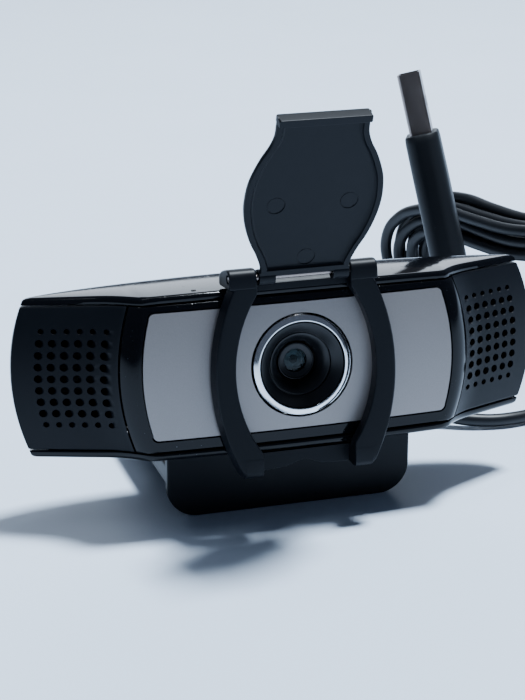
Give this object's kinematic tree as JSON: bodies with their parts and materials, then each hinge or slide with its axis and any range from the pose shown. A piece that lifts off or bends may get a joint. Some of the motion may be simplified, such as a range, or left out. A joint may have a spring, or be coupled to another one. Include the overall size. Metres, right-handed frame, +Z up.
{
  "type": "webcam on clip stand",
  "caption": "Wide desktop webcam with a flip-up privacy shutter over its lens, standing on its folded monitor clip, with a coiled USB cable behind.",
  "frame": {"origin": "middle of the surface under the webcam and its clip, without the cable", "axes": "+X right seen from the front, -Y the way the lens looks, +Z up"},
  "size_m": [0.1452, 0.1157, 0.0735],
  "materials": {
    "gloss_black": "high gloss black ABS with dust and fine hairline scratches",
    "satin_black": "satin black ABS",
    "matte_black": "fine textured matt blue-black ABS",
    "silver_trim": "fine sand-textured warm silver",
    "chrome_trim": "bright bevelled ring",
    "steel": "stamped steel",
    "brass": "turned brass",
    "rubber": "soft matt rubber",
    "lens_glass": "coated lens glass",
    "board": "green solder mask",
    "chip": "moulded black epoxy",
    "connector": "cream nylon",
    "light_pipe": "clear moulded light pipe",
    "cable_jacket": "satin PVC jacket"
  },
  "bodies": {
    "camera": {"front_bezel": "gloss_black", "silver_plate": "silver_trim", "top_cover": "gloss_black", "bottom_cover": "gloss_black", "rear_housing": "satin_black", "grille_left": "matte_black", "grille_right": "matte_black", "lens_ring": "chrome_trim", "lens_tunnel": "satin_black", "focus_actuator": "steel", "lens_holder": "satin_black", "image_sensor": "chip", "sensor_board": "board", "main_board": "board", "video_processor": "chip", "heat_spreader": "steel", "cable_header": "connector", "indicator_light": "light_pipe", "microphone_left": "steel", "microphone_right": "steel", "microphone_gasket_left": "rubber", "microphone_gasket_right": "rubber", "housing_screw_left": "steel", "housing_screw_right": "steel", "cable_gland": "rubber", "shutter_frame": "matte_black", "shutter_pin": "steel", "tilt_neck": "satin_black", "usb_cable": "cable_jacket", "cable_hank": "cable_jacket", "cable_tie": "rubber", "plug_lead": "cable_jacket", "plug_body": "rubber", "plug_shell": "steel", "plug_tongue": "chip"},
    "lens": {"lens_barrel": "satin_black", "front_lens": "lens_glass", "rear_lens": "lens_glass"},
    "flap": {"shutter_flap": "matte_black"},
    "clip": {"clip_arm": "matte_black", "lip_pad": "rubber", "arm_pad": "rubber", "tilt_pin": "steel", "friction_washer_left": "brass", "friction_washer_right": "brass", "leg_pin": "steel"},
    "leg": {"clip_leg": "matte_black", "tripod_insert": "brass", "leg_pad": "rubber", "foot_pin": "steel"},
    "foot": {"clip_foot": "matte_black", "foot_pad": "rubber"}
  },
  "joints": [
    {"name": "clip_tilt", "type": "hinge", "parent": "camera", "child": "clip", "pos_m": [0, -0.01045, 0.0074], "axis": [1, 0, 0], "range_deg": [-7, 12]},
    {"name": "leg_fold", "type": "hinge", "parent": "clip", "child": "leg", "pos_m": [0, 0.03025, 0.005], "axis": [1, 0, 0], "range_deg": [0, 175]},
    {"name": "foot_fold", "type": "hinge", "parent": "leg", "child": "foot", "pos_m": [0, -0.00855, 0.00185], "axis": [-1, 0, 0], "range_deg": [0, 90]},
    {"name": "shutter_flip", "type": "hinge", "parent": "camera", "child": "flap", "pos_m": [0, -0.02144, 0.04409], "axis": [1, 0, 0], "range_deg": [-45, 153.8]},
    {"name": "focus_slide", "type": "slide", "parent": "camera", "child": "lens", "axis": [0, -0.9921, 0.1253], "range_m": [0, 0.0003], "stiffness_N_per_m": 60}
  ]
}
